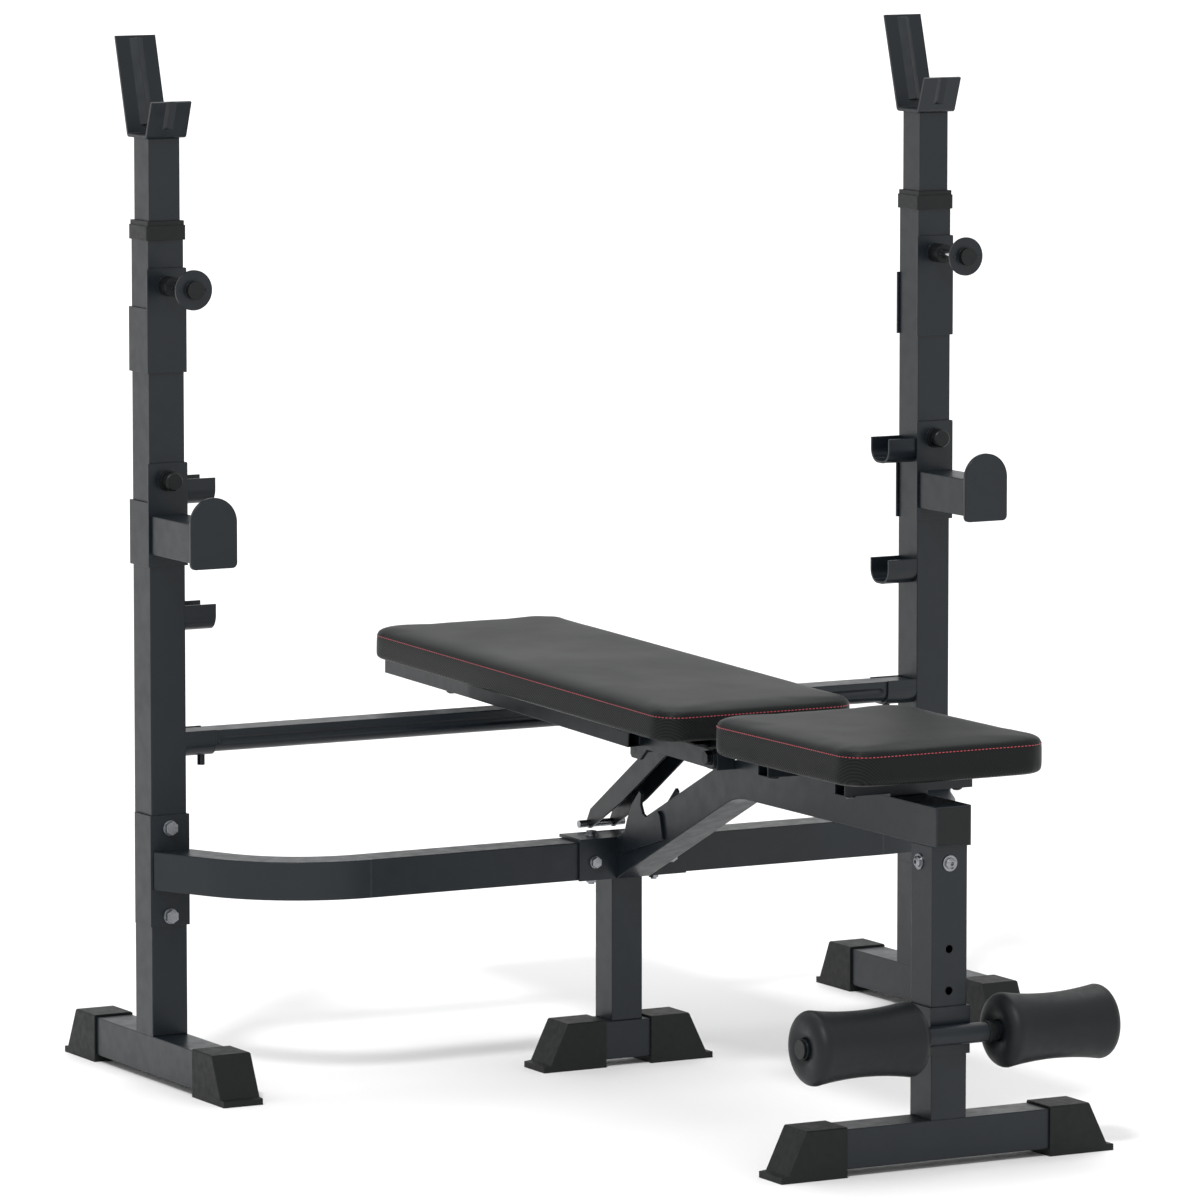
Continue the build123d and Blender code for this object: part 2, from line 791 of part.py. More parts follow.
def back_rail():
    """Left rail under the back pad."""
    half = rail_size / 2
    high = back_bottom - half
    points = [
        (-rail_rear_x, rail_rear, high),
        (-rail_rear_x, rail_knee, high),
        (-rail_front_x, rail_front, high - rail_drop),
    ]
    path = FilletPolyline(*points, radius=rail_bend)
    start = Plane(origin=path @ 0, x_dir=(1, 0, 0), z_dir=path % 0)
    solid = sweep(start * Rectangle(rail_size, rail_size), path=path)
    solid -= sweep(start * Rectangle(rail_size - 2 * rail_wall, rail_size - 2 * rail_wall), path=path)
    solid &= block((-post_x, 0), (0, rail_rear), (-frame_tube, back_bottom))
    low, y = high - rail_size, rail_screw_y
    solid -= rod((-rail_rear_x, y, low), (-rail_rear_x, y, high), bolt_m8 / 2 + bolt_play)
    stud = rod((-stud_x, stud_y, high - rail_drop), (-stud_x, stud_y, back_bottom), stud_radius)
    return turned(solid - stud)


def hinge_arm():
    """Left flat arm from the rail's end to the hinge, with the lug for the strut."""
    lug_y, lug_z = strut_in_rest()
    low, high = hinge_plate_low, hinge_plate_high
    back = lug_y + 14
    outline = [
        (-hinge_plate_nose, low + 5),
        (-hinge_plate_nose + 5, low),
        (lug_y - 30, low),
        (lug_y - 12, lug_z - 12),
        (back - 4, lug_z - 12),
        (back, lug_z - 8),
        (back, high),
        (-hinge_plate_nose + 5, high),
        (-hinge_plate_nose, high - 5),
    ]
    solid = side_profile(outline, (-hinge_plate_x - hinge_plate, -hinge_plate_x))
    bore = bolt_m10 / 2 + pivot_fit
    solid -= rod((-frame_tube * 2, 0, 0), (0, 0, 0), bore)
    bore = strut_rod / 2
    solid -= rod((-frame_tube * 2, lug_y, lug_z), (0, lug_y, lug_z), bore)
    return turned(solid)


def strut_in_rest():
    """The strut's pivot in the back rest's own coordinates."""
    tilt = math.radians(rest_tilt)
    y, z = strut_pivot_y - hinge_y, strut_pivot_z - hinge_z
    return (y * math.cos(tilt) + z * math.sin(tilt), z * math.cos(tilt) - y * math.sin(tilt))


def back_studs():
    """Two studs between the low ends of the rails and the pad."""
    low = back_bottom - rail_drop - rail_wall
    return both_sides(turned(rod((-stud_x, stud_y, low), (-stud_x, stud_y, back_bottom), stud_radius)))


def rail_screws():
    """A screw up through each rail towards the pad."""
    low = (-rail_rear_x, rail_screw_y, back_bottom - rail_size)
    return both_sides(turned(button_screw(low, (0, 0, 1), rail_size / 2, bolt_m8)))


def strut_rod_bar():
    """Cross rod on the back rest that carries the strut."""
    half = hinge_plate_x + hinge_plate
    start = (-half, strut_pivot_y, strut_pivot_z)
    return rod(start, (half, strut_pivot_y, strut_pivot_z), strut_rod / 2)


def in_strut(shape):
    """A shape drawn along +Y from the strut's pivot, turned down to its rest position."""
    return Pos(0, strut_pivot_y, strut_pivot_z) * Rot(-strut_angle, 0, 0) * shape


def strut():
    """Channel strut, open below, tapered to its foot."""
    half, depth, foot = strut_half_width, strut_half_depth, strut_foot_radius
    end = strut_length
    outline = [
        (-depth + 4, -depth),
        (end - strut_taper, -depth),
        (end, -foot),
        (end + foot - 2, -foot + 3),
        (end + foot, 0),
        (end + foot - 2, foot - 2),
        (end - depth, depth),
        (-depth + 4, depth),
        (-depth, depth - 4),
        (-depth, -depth + 4),
    ]
    solid = side_profile(outline, (-half, half))
    inner = half - strut_plate
    inside = block((-inner, inner), (-depth - 1, end - depth - 6), (-depth - 1, depth - strut_plate))
    inside += block((-inner, inner), (end - depth - 7, end + foot + 1), (-depth - 1, depth + 1))
    solid -= inside
    solid -= rod((-half, 0, 0), (half, 0, 0), strut_rod / 2 + pivot_fit)
    solid -= rod((-half, end, 0), (half, end, 0), strut_rod / 2)
    return in_strut(solid)


def strut_foot():
    """Rod at the strut's foot that meets the hooks."""
    half = strut_rod_half
    return in_strut(rod((-half, strut_length, 0), (half, strut_length, 0), strut_rod / 2))


def roller_carriage():
    """Sleeve round the front leg with the roller axle welded to its face."""
    outer = carriage_gap + carriage_plate
    z = (carriage_bottom, carriage_top)
    solid = square_tube((-outer, outer), (leg_y - outer, leg_y + outer), z, carriage_plate, 2)
    weld_z = (roller_z - weld_half_height, roller_z + weld_half_height)
    solid += block((-weld_half_width, weld_half_width), (roller_y, carriage_front), weld_z)
    return solid - rod((-frame_tube, roller_y, roller_z), (frame_tube, roller_y, roller_z), axle_radius)


def roller_axle():
    """Tube through the carriage on which both rollers turn."""
    reach = roller_outer_x
    start, end = (-reach, roller_y, roller_z), (reach, roller_y, roller_z)
    return rod(start, end, axle_radius) - rod(start, end, axle_radius - axle_wall)


def roller_plugs():
    """Plugs in the ends of the axle and spacers inside the rollers."""
    bore = axle_radius - axle_wall
    start = (-roller_outer_x + plug_depth, roller_y, roller_z)
    mouth = (-roller_outer_x, roller_y, roller_z)
    end = (-roller_outer_x - roller_plug_proud, roller_y, roller_z)
    plug = rod(start, mouth, bore) + rod(mouth, end, roller_plug_radius)
    near = (-roller_inner_x + pivot_gap, roller_y, roller_z)
    far = (-roller_inner_x + spacer_length, roller_y, roller_z)
    spacer = rod(near, far, axle_radius + spacer_wall) - rod(near, far, axle_radius)
    return both_sides(Compound([*plug.solids(), *spacer.solids()]))


def foam_roller():
    """Left foam roller, waisted in the middle."""
    length = roller_outer_x - roller_inner_x - pivot_gap
    bore = axle_radius + pivot_fit
    edge = roller_edge
    side = [
        (0, bore),
        (0, roller_radius - edge),
        (edge * 0.3, roller_radius - edge * 0.3),
        (edge, roller_radius),
    ]
    other = [(length - x, r) for x, r in reversed(side)]
    lines = Polyline(*side) + Polyline(*other)
    lines += ThreePointArc(side[-1], (length / 2, roller_waist), other[0])
    lines += Line(other[-1], side[0])
    solid = revolve(Plane.XY * make_face(lines), Axis.X)
    return Pos(-roller_outer_x + pivot_gap, roller_y, roller_z) * solid


def mirrored(name, shape):
    """The shape as a left node, and its mirror image as a right one."""
    return {f"{name}_left": shape, f"{name}_right": mirror(shape, about=Plane.YZ)}


def main():
    nodes = {
        "base_beam_front": cross_beam(front_beam_half, leg_y),
        "base_beam_centre": cross_beam(centre_beam_half, centre_post_y),
        "foot_caps_side": side_caps(),
        "foot_caps_front": Compound(caps(front_beam_half, leg_y, 0)),
        "foot_caps_centre": Compound(caps(centre_beam_half, centre_post_y, 0)),
        "crossbar": crossbar(),
        "crossbar_bolts": crossbar_bolts(),
        "post_bracket_bolts": post_bracket_bolts(),
        "crossmember": crossmember(),
        "centre_bracket": centre_bracket(),
        "frame_bolts": Compound([*centre_bracket_bolts().solids(), *leg_bolts().solids()]),
        "centre_post": centre_post(),
        "spine": spine(),
        "spine_plug": spine_plug(),
        "hook_plates": hook_plates(),
        "front_leg": front_leg(),
        "hinge_stubs": hinge_stubs(),
        "hinge_bolt": hinge_bolt(),
        "seat_members": Compound([seat_member(y) for y in (member_front_y, member_back_y)]),
        "seat_screws": seat_screws(),
        "seat_pad": pad((seat_front, seat_back), (seat_bottom, seat_bottom + seat_thick)),
        "back_pad": back_pad(),
        "back_studs": back_studs(),
        "back_rail_screws": rail_screws(),
        "strut_pivot_rod": strut_rod_bar(),
        "strut": strut(),
        "strut_foot_rod": strut_foot(),
        "roller_carriage": roller_carriage(),
        "roller_axle": roller_axle(),
        "roller_plugs": roller_plugs(),
        **mirrored("base_beam", side_beam()),
        **mirrored("post", post()),
        **mirrored("collar", collar()),
        **mirrored("inner_post", inner_post()),
        **mirrored("bar_catch", bar_catch()),
        **mirrored("upper_sleeve", upper_sleeve()),
        **mirrored("upper_knob", upper_knob()),
        **mirrored("safety_sleeve", safety_sleeve()),
        **mirrored("lower_knob", lower_knob()),
        **mirrored("safety_arm", safety_arm()),
        **mirrored("troughs", troughs()),
        **mirrored("post_bracket", post_bracket()),
        **mirrored("back_rail", back_rail()),
        **mirrored("hinge_arm", hinge_arm()),
        **mirrored("foam_roller", foam_roller()),
    }
    os.makedirs("parts", exist_ok=True)
    for name, shape in nodes.items():
        solids = [Pos(0, shift_y, 0) * solid for solid in shape.solids()]
        export_step(solids[0] if len(solids) == 1 else Compound(solids), f"parts/{name}.step")


main()
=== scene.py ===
"""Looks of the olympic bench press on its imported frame: powder-coated tubes, stitched pads, foam rollers."""

import json
import math

import bmesh
import bpy
from mathutils import Matrix, Vector
from mathutils.bvhtree import BVHTree


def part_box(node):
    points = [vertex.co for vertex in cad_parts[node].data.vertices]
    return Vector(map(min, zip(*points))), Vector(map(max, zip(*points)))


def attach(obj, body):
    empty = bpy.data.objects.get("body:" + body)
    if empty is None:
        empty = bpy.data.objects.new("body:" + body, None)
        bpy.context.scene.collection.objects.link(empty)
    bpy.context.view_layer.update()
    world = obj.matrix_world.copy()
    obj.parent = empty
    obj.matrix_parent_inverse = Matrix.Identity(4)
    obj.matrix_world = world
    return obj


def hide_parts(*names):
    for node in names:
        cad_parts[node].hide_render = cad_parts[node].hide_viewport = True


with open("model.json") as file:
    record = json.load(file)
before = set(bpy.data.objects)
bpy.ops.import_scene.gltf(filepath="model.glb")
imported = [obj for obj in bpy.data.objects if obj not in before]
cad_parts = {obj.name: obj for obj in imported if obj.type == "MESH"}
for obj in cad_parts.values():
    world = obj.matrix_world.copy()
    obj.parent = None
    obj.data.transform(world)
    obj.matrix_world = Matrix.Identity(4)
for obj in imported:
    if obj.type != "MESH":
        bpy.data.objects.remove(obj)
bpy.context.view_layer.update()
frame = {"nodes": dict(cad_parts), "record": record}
joints = {joint["name"]: joint for joint in frame["record"]["behaviour"]["joints"]}
material_of_slot = {part["node"]: part["material_slot"] for part in frame["record"]["subparts"]}

# The plane of the two posts, from the middle of the footprint
UPRIGHT_Y = 0.41428

# Real sizes of the looks, in metres
SEAM_BELOW_TOP = 0.012
TOP_PANEL_DROP = 0.006
STITCH_PITCH = 0.0052
STITCH_LENGTH = 0.0036
THREAD = 0.0011
TWILL_PITCH = 0.003
LEATHER_GRAIN = 0.0016
PAD_CORNER = 0.040
BACK_TILT = math.radians(1.46)
KNOB_DISC_BACK = 0.0113
KNOB_HUB_LENGTH = 0.0055
KNOB_HUB_RADIUS = 0.0125
UPPER_BOSS = 0.023
LOWER_BOSS = 0.005


def linear(hex_colour):
    """An sRGB hex colour as linear RGBA."""
    parts = [int(hex_colour[i : i + 2], 16) / 255 for i in (0, 2, 4)]
    return (*[p / 12.92 if p <= 0.04045 else ((p + 0.055) / 1.055) ** 2.4 for p in parts], 1.0)


def add(tree, kind, inputs=None, **settings):
    """Adds a node with its settings; an input is a value or the socket that feeds it."""
    made = tree.nodes.new(kind)
    for name, value in settings.items():
        setattr(made, name, value)
    for name, value in (inputs or {}).items():
        if isinstance(value, bpy.types.NodeSocket):
            tree.links.new(value, made.inputs[name])
        else:
            made.inputs[name].default_value = value
    return made


def new_material(name, **shader_inputs):
    """A material with one Principled shader; returns the material, its tree and the shader."""
    material = bpy.data.materials.new(name)
    material.use_nodes = True
    tree = material.node_tree
    tree.nodes.clear()
    shader = add(tree, "ShaderNodeBsdfPrincipled", {k.replace("_", " "): v for k, v in shader_inputs.items()})
    add(tree, "ShaderNodeOutputMaterial", {"Surface": shader.outputs["BSDF"]})
    return material, tree, shader


def finish(name, colours, patch, roughness, grain, depth, edge=0.0, **shader_inputs):
    """A solid finish: colour mottled in patches, cloudy roughness, a bump of the grain's size, softened edges."""
    material, tree, shader = new_material(name, **shader_inputs)
    dark, light = (linear(colour) for colour in colours)
    place = add(tree, "ShaderNodeTexCoord").outputs["Object"]
    mottle = add(tree, "ShaderNodeTexNoise", {"Vector": place, "Scale": 1 / patch, "Detail": 3.0}).outputs["Fac"]
    colour = add(tree, "ShaderNodeMix", {0: mottle, 6: dark, 7: light}, data_type="RGBA").outputs[2]
    tree.links.new(colour, shader.inputs["Base Color"])
    cloud = add(tree, "ShaderNodeTexNoise", {"Vector": place, "Scale": 5 / patch, "Detail": 2.0}).outputs["Fac"]
    spread = {"Value": cloud, "From Min": 0.3, "From Max": 0.7, "To Min": roughness[0], "To Max": roughness[1]}
    tree.links.new(add(tree, "ShaderNodeMapRange", spread).outputs["Result"], shader.inputs["Roughness"])
    height = add(tree, "ShaderNodeTexNoise", {"Vector": place, "Scale": 1 / grain, "Detail": 2.0}).outputs["Fac"]
    bump = {"Height": height, "Distance": depth, "Strength": 0.6}
    if edge:
        bump["Normal"] = add(tree, "ShaderNodeBevel", {"Radius": edge}, samples=6).outputs["Normal"]
    tree.links.new(add(tree, "ShaderNodeBump", bump).outputs["Normal"], shader.inputs["Normal"])
    return material


# Baked satin powder coat on steel: a fine orange peel and soft, broad highlights on charcoal.
# The real peel is about 0.5 mm across; it is drawn at 1.4 mm so that it shows at all.
COAT = {
    "colours": ("0d1318", "141b21"),
    "patch": 0.09,
    "roughness": (0.3, 0.4),
    "grain": 0.0014,
    "depth": 0.00004,
    "IOR": 1.5,
    "Specular_IOR_Level": 0.34,
}
TUBE_COAT = finish("powder_coat_tube", edge=0.0028, **COAT)
PLATE_COAT = finish("powder_coat_plate", edge=0.0011, **COAT)
# Moulded rubber of the foot caps: matte greenish black with a spark-eroded mould grain of about 1 mm.
RUBBER = finish(
    "moulded_rubber",
    colours=("0c0f0e", "141816"),
    patch=0.05,
    roughness=(0.5, 0.62),
    grain=0.0012,
    depth=0.00008,
    edge=0.0015,
    IOR=1.52,
    Specular_IOR_Level=0.24,
)
# Injection-moulded black polypropylene of collars, plugs and small knobs: an even, slightly waxy satin.
PLASTIC = finish(
    "moulded_plastic",
    colours=("080a0b", "101314"),
    patch=0.03,
    roughness=(0.36, 0.48),
    grain=0.0009,
    depth=0.00005,
    edge=0.001,
    IOR=1.49,
    Specular_IOR_Level=0.28,
)
# Zinc plating on fasteners: metallic and a little cloudy.
ZINC = finish("zinc_plate", ("6f7276", "a3a5a9"), 0.012, (0.24, 0.36), 0.0012, 0.00002, 0.0006, Metallic=1.0)
# Black oxide on the pad screws and on the hinge bolt, crossbar bolts, studs and strut pivot rod: a dark oiled metal.
BLACK_OXIDE = finish("black_oxide", ("1b1d1f", "35383b"), 0.01, (0.26, 0.38), 0.0012, 0.00002, 0.0006, Metallic=1.0)
# Chrome plating on the clamp screws: mirror-like.
CHROME = finish("chrome_plate", ("b4b6b8", "d8d9db"), 0.02, (0.07, 0.12), 0.0015, 0.00001, 0.0006, Metallic=1.0)
# Skin of closed-cell foam rollers: soft satin black. The pores are about 0.3 mm; they are drawn at 1 mm.
FOAM = finish(
    "closed_cell_foam", ("0c0f11", "14181a"), 0.06, (0.42, 0.52), 0.001, 0.0001, IOR=1.45, Specular_IOR_Level=0.32
)
# Polyester top-stitching thread: red, with the lustre of twisted fibres.
THREAD_RED = finish("red_thread", ("8f1f2d", "c23346"), 0.002, (0.5, 0.7), 0.0004, 0.00005, IOR=1.5, Sheen_Weight=0.3)


def upholstery(name, origin, tilt, edge_height):
    """Vinyl of one pad: smooth fine-grained leathercloth on top, a twill-embossed band round the sides.

    The bands are level in the pad's own frame, so the pattern is turned by the pad's tilt first."""
    material, tree, shader = new_material(name, IOR=1.5, Specular_IOR_Level=0.13)
    place = add(tree, "ShaderNodeTexCoord").outputs["Object"]
    moved = add(tree, "ShaderNodeVectorMath", {0: place, 1: tuple(origin)}, operation="SUBTRACT").outputs[0]
    turned = add(tree, "ShaderNodeMapping", {"Vector": moved, "Rotation": (-tilt, 0.0, 0.0)}).outputs[0]
    level = add(tree, "ShaderNodeSeparateXYZ", {0: turned}).outputs["Z"]
    top = add(tree, "ShaderNodeMath", {0: level, 1: edge_height}, operation="GREATER_THAN").outputs[0]
    # Twill ribs 3 mm apart, on the diagonal, a little uneven as pressed cloth is
    ribs = {"Vector": turned, "Scale": 2 * math.pi / (10 * math.sqrt(2) * TWILL_PITCH)}
    ribs |= {"Distortion": 1.6, "Detail": 2.0, "Detail Scale": 0.6}
    twill = add(tree, "ShaderNodeTexWave", ribs, bands_direction="DIAGONAL").outputs["Fac"]
    grain = add(tree, "ShaderNodeTexVoronoi", {"Vector": place, "Scale": 1 / LEATHER_GRAIN}).outputs["Distance"]
    mottle = add(tree, "ShaderNodeTexNoise", {"Vector": place, "Scale": 1 / 0.12, "Detail": 3.0}).outputs["Fac"]
    ends = {0: twill, 6: linear("080909"), 7: linear("191b1c")}
    side_colour = add(tree, "ShaderNodeMix", ends, data_type="RGBA").outputs[2]
    ends = {0: mottle, 6: linear("121415"), 7: linear("181a1b")}
    top_colour = add(tree, "ShaderNodeMix", ends, data_type="RGBA").outputs[2]
    colour = add(tree, "ShaderNodeMix", {0: top, 6: side_colour, 7: top_colour}, data_type="RGBA").outputs[2]
    tree.links.new(colour, shader.inputs["Base Color"])
    spread = {"Value": twill, "To Min": 0.34, "To Max": 0.5}
    side_rough = add(tree, "ShaderNodeMapRange", spread).outputs["Result"]
    spread = {"Value": mottle, "From Min": 0.3, "From Max": 0.7, "To Min": 0.4, "To Max": 0.47}
    top_rough = add(tree, "ShaderNodeMapRange", spread).outputs["Result"]
    rough = add(tree, "ShaderNodeMix", {0: top, 2: side_rough, 3: top_rough}).outputs[0]
    tree.links.new(rough, shader.inputs["Roughness"])
    height = add(tree, "ShaderNodeMix", {0: top, 2: twill, 3: grain}).outputs[0]
    depth = add(tree, "ShaderNodeMix", {0: top, 2: 0.0004, 3: 0.00006}).outputs[0]
    bump = add(tree, "ShaderNodeBump", {"Height": height, "Distance": depth, "Strength": 0.6}).outputs["Normal"]
    tree.links.new(bump, shader.inputs["Normal"])
    return material


def dress(node, *materials):
    """Gives a CAD node its materials; the first one covers it all."""
    mesh = frame["nodes"][node].data
    mesh.materials.clear()
    for material in materials:
        mesh.materials.append(material)
    for polygon in mesh.polygons:
        polygon.material_index = 0


def dress_part(node, index, inside):
    """Gives the faces whose centre passes the test another of the node's materials."""
    for polygon in frame["nodes"][node].data.polygons:
        if inside(polygon.center):
            polygon.material_index = index


def dress_frame():
    """Materials of every CAD node that stays in sight."""
    thin = ("bar_catch", "sleeve", "bracket", "troughs", "hook_plates", "hinge_arm", "strut", "roller_carriage")
    by_slot = {"zinc": ZINC, "chrome": CHROME, "cap_rubber": RUBBER, "black_plastic": PLASTIC, "foam": FOAM}
    for node, slot in material_of_slot.items():
        coat = PLATE_COAT if any(word in node for word in thin) else TUBE_COAT
        dress(node, by_slot.get(slot, coat))
    for node in ("seat_screws", "back_rail_screws", "crossbar_bolts", "hinge_bolt", "back_studs", "strut_pivot_rod"):
        dress(node, BLACK_OXIDE)
    for side in ("left", "right"):
        knob = f"upper_knob_{side}"
        dress(knob, PLATE_COAT, CHROME, PLASTIC)
        low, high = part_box(knob)
        disc_back = low.y + KNOB_DISC_BACK
        hub_back = disc_back + KNOB_HUB_LENGTH
        centre = (low + high) / 2
        dress_part(knob, 1, lambda c: c.y > hub_back)
        dress_part(
            knob, 2, lambda c: math.hypot(c.x - centre.x, c.z - centre.z) < KNOB_HUB_RADIUS and c.y < hub_back
        )
        for sleeve in (f"upper_sleeve_{side}", f"safety_sleeve_{side}"):
            dress(sleeve, PLATE_COAT, PLASTIC)
            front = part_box(sleeve)[0].y
            boss = UPPER_BOSS if sleeve.startswith("upper") else LOWER_BOSS
            dress_part(sleeve, 1, lambda c: c.y < front + boss)


def mesh_object(name, vertices, faces):
    """A mesh object in the row's frame."""
    mesh = bpy.data.meshes.new(name)
    mesh.from_pydata(vertices, [], faces)
    mesh.validate()
    made = bpy.data.objects.new(name, mesh)
    bpy.context.collection.objects.link(made)
    work = bmesh.new()
    work.from_mesh(mesh)
    bmesh.ops.remove_doubles(work, verts=work.verts, dist=1e-6)
    bmesh.ops.recalc_face_normals(work, faces=work.faces)
    work.to_mesh(mesh)
    work.free()
    mesh.shade_smooth()
    return made


def rounded_outline(half_x, low_y, high_y, radius, inset, steps=14):
    """Points of a rectangle with round corners, moved inwards."""
    radius = max(radius - inset, 0.002)
    half_x, low_y, high_y = half_x - inset, low_y + inset, high_y - inset
    centres = [
        (half_x - radius, high_y - radius, 0),
        (radius - half_x, high_y - radius, 90),
        (radius - half_x, low_y + radius, 180),
        (half_x - radius, low_y + radius, 270),
    ]
    points = []
    for x, y, start in centres:
        for step in range(steps + 1):
            angle = math.radians(start + 90 * step / steps)
            points.append((x + radius * math.cos(angle), y + radius * math.sin(angle)))
    return points


def pad_shell(name, size, profile, corner):
    """A closed pad shell lofted through rings: profile is (inset, height) from base to top."""
    half_x, low_y, high_y = size
    vertices, faces = [], []
    for inset, height in profile:
        vertices += [(x, y, height) for x, y in rounded_outline(half_x, low_y, high_y, corner, inset)]
    ring = len(vertices) // len(profile)
    for level in range(len(profile) - 1):
        for step in range(ring):
            a, b = level * ring + step, level * ring + (step + 1) % ring
            faces.append((a, b, b + ring, a + ring))
    faces.append(tuple(reversed(range(ring))))
    faces.append(tuple(range(len(vertices) - ring, len(vertices))))
    return mesh_object(name, vertices, faces)


def swell(pad, voxel, pinned_below, cap):
    """Remeshes a pad and lets cloth pressure fill it; its base stays on the board."""
    remesh = pad.modifiers.new("remesh", "REMESH")
    remesh.mode, remesh.voxel_size = "VOXEL", voxel
    apply_modifiers(pad)
    mesh = pad.data
    start = [v.co.copy() for v in mesh.vertices]
    base = pad.vertex_groups.new(name="base")
    base.add([v.index for v in mesh.vertices if v.co.z < pinned_below], 1.0, "ADD")
    cloth = pad.modifiers.new("cloth", "CLOTH")
    settings = cloth.settings
    settings.use_pressure, settings.uniform_pressure_force = True, 4.0
    settings.effector_weights.gravity = 0.0
    settings.vertex_group_mass = "base"
    settings.tension_stiffness = settings.compression_stiffness = 40.0
    settings.quality = 5
    cloth.point_cache.frame_start, cloth.point_cache.frame_end = 1, 20
    for step in range(1, 21):
        bpy.context.scene.frame_set(step)
    apply_modifiers(pad)
    bpy.context.scene.frame_set(1)
    pad.vertex_groups.clear()
    for vertex, was in zip(pad.data.vertices, start):
        move = vertex.co - was
        if move.length > cap:
            vertex.co = was + move * (cap / move.length)
    smooth = pad.modifiers.new("smooth", "SMOOTH")
    smooth.iterations, smooth.factor = 8, 0.5
    finer = pad.modifiers.new("finer", "SUBSURF")
    finer.levels = finer.render_levels = 1
    apply_modifiers(pad)
    pad.data.shade_smooth()


def apply_modifiers(piece):
    """Turns a piece with modifiers into its plain mesh."""
    depsgraph = bpy.context.evaluated_depsgraph_get()
    mesh = bpy.data.meshes.new_from_object(piece.evaluated_get(depsgraph))
    piece.modifiers.clear()
    old = piece.data
    piece.data = mesh
    bpy.data.meshes.remove(old)


def stitch_tree():
    """Geometry Nodes: stitches laid along a closed loop of edges."""
    tree = bpy.data.node_groups.new("stitches_along_seam", "GeometryNodeTree")
    tree.interface.new_socket("Geometry", in_out="INPUT", socket_type="NodeSocketGeometry")
    for name, value in (("Pitch", STITCH_PITCH), ("Stitch length", STITCH_LENGTH), ("Thread thickness", THREAD)):
        socket = tree.interface.new_socket(name, in_out="INPUT", socket_type="NodeSocketFloat")
        socket.default_value = value
    tree.interface.new_socket("Thread", in_out="INPUT", socket_type="NodeSocketMaterial")
    tree.interface.new_socket("Geometry", in_out="OUTPUT", socket_type="NodeSocketGeometry")
    given = add(tree, "NodeGroupInput").outputs
    curve = add(tree, "GeometryNodeMeshToCurve", {0: given["Geometry"]}).outputs[0]
    points = add(tree, "GeometryNodeCurveToPoints", {"Curve": curve, "Length": given["Pitch"]}, mode="LENGTH")
    thick = add(tree, "ShaderNodeMath", {0: given["Thread thickness"], 1: 0.5}, operation="MULTIPLY").outputs[0]
    long = add(tree, "ShaderNodeMath", {0: given["Stitch length"], 1: 0.5}, operation="MULTIPLY").outputs[0]
    scale = add(tree, "ShaderNodeCombineXYZ", {0: thick, 1: thick, 2: long}).outputs[0]
    ball = add(tree, "GeometryNodeMeshUVSphere", {"Segments": 8, "Rings": 6, "Radius": 1.0}).outputs["Mesh"]
    stitch = add(tree, "GeometryNodeTransform", {"Geometry": ball, "Scale": scale}).outputs[0]
    turn = add(
        tree, "FunctionNodeAlignRotationToVector", {"Vector": points.outputs["Tangent"]}, axis="Z"
    ).outputs["Rotation"]
    placed = add(
        tree,
        "GeometryNodeInstanceOnPoints",
        {"Points": points.outputs["Points"], "Instance": stitch, "Rotation": turn},
    ).outputs[0]
    real = add(tree, "GeometryNodeRealizeInstances", {0: placed}).outputs[0]
    done = add(tree, "GeometryNodeSetMaterial", {"Geometry": real, "Material": given["Thread"]}).outputs[0]
    add(tree, "NodeGroupOutput", {0: done})
    return tree


STITCHES = stitch_tree()


def run_tree(piece, tree, values):
    """Runs a node tree on a piece and keeps the result as a plain mesh."""
    modifier = piece.modifiers.new(tree.name, "NODES")
    modifier.node_group = tree
    for item in tree.interface.items_tree:
        if item.in_out == "INPUT" and item.name in values:
            modifier[item.identifier] = values[item.name]
    apply_modifiers(piece)


def surface_loop(pad, size, corner, height, proud):
    """Points round a pad at one height, found on its surface and set a little proud of it."""
    tree = BVHTree.FromObject(pad, bpy.context.evaluated_depsgraph_get())
    half_x, low_y, high_y = size
    points = []
    for x, y in rounded_outline(half_x, low_y, high_y, corner, -0.03, 24):
        inner_x = max(-half_x + corner, min(half_x - corner, x))
        inner_y = max(low_y + corner, min(high_y - corner, y))
        start = Vector((x, y, height))
        aim = (Vector((inner_x, inner_y, height)) - start).normalized()
        hit, normal, _, _ = tree.ray_cast(start, aim)
        if hit:
            points.append(hit + normal * proud)
    return points


def fine_loop(points, step):
    """The same closed loop with a point every step or so."""
    out = []
    for a, b in zip(points, points[1:] + points[:1]):
        count = max(1, round((b - a).length / step))
        out += [a.lerp(b, i / count) for i in range(count)]
    return out


